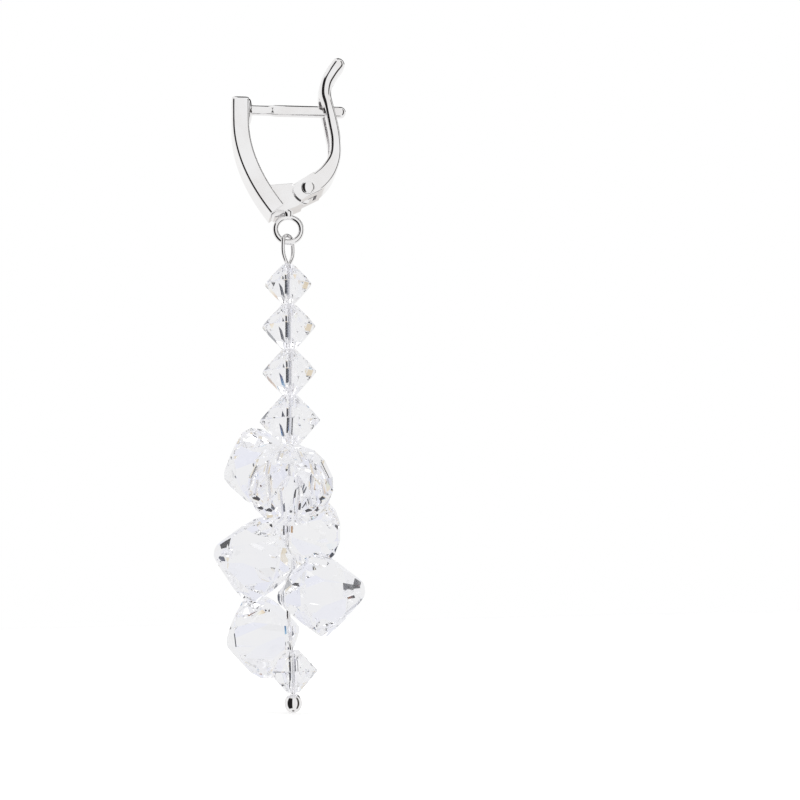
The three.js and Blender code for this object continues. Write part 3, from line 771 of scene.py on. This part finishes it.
# %% [markdown]
# The lever is bent from a thick strip: a round tip that leans back, a narrow neck, a broad belly with a
# slot for the post, and a foot with two ears. Its middle line is a smooth curve through measured places,
# and each place has its own thickness, width and edge, so the same curve carries all five numbers.

# %% The lever's arm
LEVER_HEIGHT, LEVER_REACH, LEVER_THICK, LEVER_WIDE = 13.0, 3.25, 1.0, 4.0
LEVER_STEPS, TIP_RINGS = 9, 10
TIP_TURN = math.pi / 2 * 0.98  # the round tip stops just short of a line
LEVER_SECTIONS = [
    # back and up from the hinge, in shares of the reach and height, thickness and width, in shares of
    # the lever's own, and the radius of the long edges in mm
    (1.0, 0.994, 1.3, 0.55, 0.56),
    (0.831, 0.932, 1.25, 0.575, 0.56),
    (0.65, 0.843, 1.2, 0.65, 0.54),
    (0.586, 0.738, 1.1, 0.8, 0.46),
    (0.662, 0.638, 0.95, 0.975, 0.36),
    (0.778, 0.496, 1.0, 1.0, 0.32),
    (0.852, 0.369, 1.0, 1.0, 0.32),
    (0.822, 0.246, 1.15, 0.975, 0.3),
    (0.615, 0.138, 1.5, 0.963, 0.26),
    (0.323, 0.06, 1.72, 0.95, 0.24),
    (0.05, 0.018, 1.72, 0.95, 0.24),
]


def smooth_line(rows, steps):
    # a uniform Catmull-Rom curve through rows of numbers
    line = []
    last = len(rows) - 1
    for i in range(last):
        four = [rows[max(i - 1, 0)], rows[i], rows[i + 1], rows[min(i + 2, last)]]
        for step in range(steps):
            t = step / steps
            row = []
            for a, b, c, d in zip(*four):
                pull = (c - a) / 2, (d - b) / 2
                row.append(
                    (2 * b - 2 * c + pull[0] + pull[1]) * t**3
                    + (-3 * b + 3 * c - 2 * pull[0] - pull[1]) * t**2
                    + pull[0] * t
                    + b
                )
            line.append(row)
    line.append(list(rows[-1]))
    return line


def make_arm():
    line = smooth_line(LEVER_SECTIONS, LEVER_STEPS)
    points = [HINGE + Vector((LEVER_REACH * row[0], 0, LEVER_HEIGHT * row[1])) for row in line]
    thick = [LEVER_THICK * row[2] / 2 for row in line]
    wide = [LEVER_WIDE * row[3] / 2 for row in line]
    edges = [row[4] for row in line]
    ways = directions(points)
    rings = []
    for i in range(TIP_RINGS, 0, -1):
        turn = i / TIP_RINGS * TIP_TURN
        reach, shrink = thick[0] * math.sin(turn), math.cos(turn)
        section = rounded(wide[0] - thick[0] + thick[0] * shrink, thick[0] * shrink, edges[0])
        rings.append(side_ring(points[0] - ways[0] * reach, ways[0], section))
    for point, along, half_wide, half_thick, edge in zip(points, ways, wide, thick, edges):
        rings.append(side_ring(point, along, rounded(half_wide, half_thick, edge)))
    mesh = bmesh.new()
    skin(mesh, rings)
    return as_object("clasp_lever_polished", mesh)


lever = make_arm()
print("lever sections:", len(LEVER_SECTIONS))

# %% [markdown]
# The foot is a rounded block round the hinge. A wide gap divides it into two ears that straddle the
# tongue, the rivet's bore runs through both, and a slot higher up lets the post through as it closes.

# %% The lever's foot, fork and slot
FORK_WIDTH, FORK_RADIUS = 1.5, 0.97
SLOT_HALF, SLOT_LENGTH, SLOT_STEPS = 0.75, 5.8, 32
FOOT_WIDTH, FOOT_EDGE = LEVER_WIDE * 0.95, 0.11
EAR_FROM, EAR_TO = 167, 242
FOOT_BACK = ((0.985, -0.13), (0.43, 1.14))


def make_foot():
    outline = arc(HINGE, EAR_RADIUS, EAR_FROM, EAR_TO)
    outline += [HINGE + Vector((back, 0, up)) * EAR_RADIUS for back, up in FOOT_BACK]
    return prism("foot", outline, FOOT_WIDTH, FOOT_EDGE)


def make_slot_cutter():
    tip = POST_TIP - POST_RADIUS - HINGE.x
    top = HINGE.z + math.hypot(tip, HINGE.z) + POST_RADIUS + SWING_ROOM
    outline = []
    for start, middle in ((0, top - SLOT_HALF), (math.pi, top - SLOT_LENGTH + SLOT_HALF)):
        for i in range(SLOT_STEPS + 1):
            angle = start + i / SLOT_STEPS * math.pi
            outline.append((SLOT_HALF * math.cos(angle), middle + SLOT_HALF * math.sin(angle)))
    mesh = bmesh.new()
    skin(mesh, [[Vector((x, y, z)) for y, z in outline] for x in (HINGE.x, HINGE.x + THROUGH)])
    return as_object("slot", mesh)


def make_fork_cutter():
    past = EAR_RADIUS * 2
    corners = [(FORK_RADIUS, 0), (0, FORK_RADIUS), (-past, FORK_RADIUS)]
    corners += [(-past, -past), (FORK_RADIUS, -past)]
    fork = prism("fork", [HINGE + Vector((x, 0, z)) for x, z in corners], FORK_WIDTH)
    return combine(fork, cross_bar("fork_round", HINGE, FORK_RADIUS, FORK_WIDTH), "UNION")


combine(lever, make_foot(), "UNION")
combine(lever, make_slot_cutter(), "DIFFERENCE")
combine(lever, make_fork_cutter(), "DIFFERENCE")
combine(lever, cross_bar("bore", HINGE, BORE_RADIUS, THROUGH), "DIFFERENCE")
make_piece(lever, "lever", silver, "polished_silver", "clasp_lever")

# %% [markdown]
# A rivet with two domed heads is the hinge. It is one turned piece, so one profile makes it. Each head
# is a low cylinder with a flat dome on it, and stands a hair's breadth off the lever's ear.

# %% The rivet
PIN_RADIUS, HEAD_RADIUS, HEAD_HEIGHT = 0.4, 0.625, 0.25
HEAD_GAP = 0.05
HEAD_SIDE, DOME_START, DOME_HEIGHT = HEAD_HEIGHT * 0.25, HEAD_HEIGHT * 0.3, HEAD_HEIGHT * 0.7
DOME_RADIUS = HEAD_RADIUS * 0.96


def make_rivet():
    start = FOOT_WIDTH / 2 + HEAD_GAP
    half = [(start, PIN_RADIUS), (start, HEAD_RADIUS), (start + HEAD_SIDE, HEAD_RADIUS)]
    half += round_end(DOME_RADIUS, DOME_HEIGHT, start + DOME_START, 8)
    profile = [(-along, radius) for along, radius in reversed(half)] + half
    return as_object("hinge_rivet_polished", lathe(profile, HINGE, ACROSS, BACKWARD))


make_piece(make_rivet(), "clasp", silver, "polished_silver", "hinge_rivet")

# %% [markdown]
# The beads are strung on one wire. Its top is bent into a pear-shaped eye that hangs in the ring, its
# shank bends a little from bead to bead, and its end is melted into a ball. The eye and the shank are
# circles swept along smooth curves, and the ball is turned, with a short neck where the wire enters it.
# The heights of the first and last beads are read from the frame, so the wire always fits them.

# %% The wire of the drop
WIRE_RADIUS = 0.2
EYE_TURN = math.radians(50)
EYE_HALF, EYE_HEIGHT, EYE_GAP = 0.8, 2.89, 0.14
EYE_STEPS, SHANK_STEPS = 5, 14
EYE_SECTIONS = [
    # half of the eye from its top down, in shares of its half width and of its height
    (0, 0),
    (0.5, 0.034),
    (0.8, 0.1),
    (0.93, 0.2),
    (0.98, 0.34),
    (1, 0.5),
    (0.9, 0.66),
    (0.64, 0.8),
    (0.33, 0.92),
    (0.13, 1.0),
    (0.08, 1.25),
]
LARGE_BEAD = 8.0
CLUSTER_WIRE = [
    # back, across and down from the last small bead, in large bead diameters
    (-0.029, 0.0375, 0.1735),
    (-0.0325, -0.001, 0.575),
    (-0.045, -0.006, 0.9875),
    (-0.055, -0.0075, 1.3875),
    (-0.044, 0.006, 1.764),
    (-0.0375, 0.035, 2.15),
]
SHANK_START, SHANK_END = 0.9, 0.4  # in shares of the half height of the first and the last bead
BALL_RADIUS, BALL_HALF = 0.83, 0.92
BALL_RINGS, BALL_START = 30, 0.055  # the ball's first ring is this share of half a turn from its top
NECK_HEIGHT, NECK_RADIUS = 0.12, WIRE_RADIUS * 1.05


def between(points, starts, stops, now):
    mixed = []
    for a, b, start, stop in zip(points, points[1:], starts, stops):
        mixed.append(a * ((stop - now) / (stop - start)) + b * ((now - start) / (stop - start)))
    return mixed


def curve_points(knots, steps):
    # a Catmull-Rom curve with centripetal knots, which never loops between its points
    knots = [Vector(k) for k in knots]
    ends = [knots[0] * 2 - knots[1]] + knots + [knots[-1] * 2 - knots[-2]]
    points = []
    for i in range(1, len(ends) - 2):
        four = ends[i - 1 : i + 3]
        times = [0.0]
        for a, b in zip(four, four[1:]):
            times.append(times[-1] + (b - a).length ** 0.5)
        for step in range(steps):
            now = times[1] + (times[2] - times[1]) * step / steps
            level = between(four, times[:3], times[1:], now)
            level = between(level, times[:2], times[2:], now)
            points += between(level, times[1:2], times[2:3], now)
    points.append(knots[-1])
    return points


def tube(name, points, radius):
    # every ring's first point lies on the same side as the last ring's, so the tube doesn't twist
    ways = directions(points)
    side = ways[0].cross(UPWARD if abs(ways[0].z) < 0.9 else BACKWARD).normalized()
    turns = [i / WIRE_SIDES * 2 * math.pi for i in range(WIRE_SIDES)]
    rings = []
    for point, along in zip(points, ways):
        side = (side - along * side.dot(along)).normalized()
        other = along.cross(side)
        rings.append([point + (side * math.cos(t) + other * math.sin(t)) * radius for t in turns])
    mesh = bmesh.new()
    skin(mesh, rings)
    return as_object(name, mesh)


def bead_middle(node):
    low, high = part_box(node)
    return (low + high) / 2 / MM


def make_eye(top):
    def leg(sign):
        row = []
        for out, down in EYE_SECTIONS:
            reach = sign * out * EYE_HALF
            row.append((reach * math.cos(EYE_TURN), reach * math.sin(EYE_TURN), top - down * EYE_HEIGHT))
        return row

    return tube("eye", curve_points(leg(-1)[::-1] + leg(1)[1:], EYE_STEPS), WIRE_RADIUS)


def make_drop_wire():
    first, last, end = bead_middle("small_bead_1"), bead_middle("small_bead_4"), bead_middle("end_bead")
    bead_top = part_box("small_bead_1")[1].z / MM
    bead_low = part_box("small_bead_4")[0].z / MM
    end_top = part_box("end_bead")[1].z / MM
    ball = Vector((0, 0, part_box("drop_wire")[0].z / MM + BALL_HALF))
    knots = [(0, 0, first.z + (bead_top - first.z) * SHANK_START), (0, 0, first.z), (0, 0, last.z)]
    for back, across, down in CLUSTER_WIRE:
        knots.append((back * LARGE_BEAD, across * LARGE_BEAD, bead_low - down * LARGE_BEAD))
    knots += [(0, 0, end.z + (end_top - end.z) * SHANK_END), tuple(ball)]
    wire = tube("drop_wire_polished", curve_points(knots, SHANK_STEPS), WIRE_RADIUS)
    top = RING_CENTRE.z - RING_RADIUS + RING_WIRE + EYE_GAP + WIRE_RADIUS
    combine(wire, make_eye(top), "UNION")
    rows = [(BALL_HALF + NECK_HEIGHT, NECK_RADIUS)]
    for i in range(BALL_RINGS + 1):
        angle = (BALL_START + i / BALL_RINGS * (1 - BALL_START)) * math.pi
        rows.append((BALL_HALF * math.cos(angle), max(BALL_RADIUS * math.sin(angle), AXIS_SHRINK)))
    return combine(wire, as_object("ball", lathe(rows, ball, UPWARD, BACKWARD)), "UNION")


drop_wire = make_drop_wire()
make_piece(drop_wire, "drop", silver, "polished_silver", "drop_wire")

# %% [markdown]
# The beads keep their CAD meshes, whose flat facets are already exact, and only get the crystal.

# %% The beads
for name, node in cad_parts.items():
    if "bead" in name:
        node.data.materials.clear()
        node.data.materials.append(crystal)
print("beads:", sum("bead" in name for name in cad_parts))
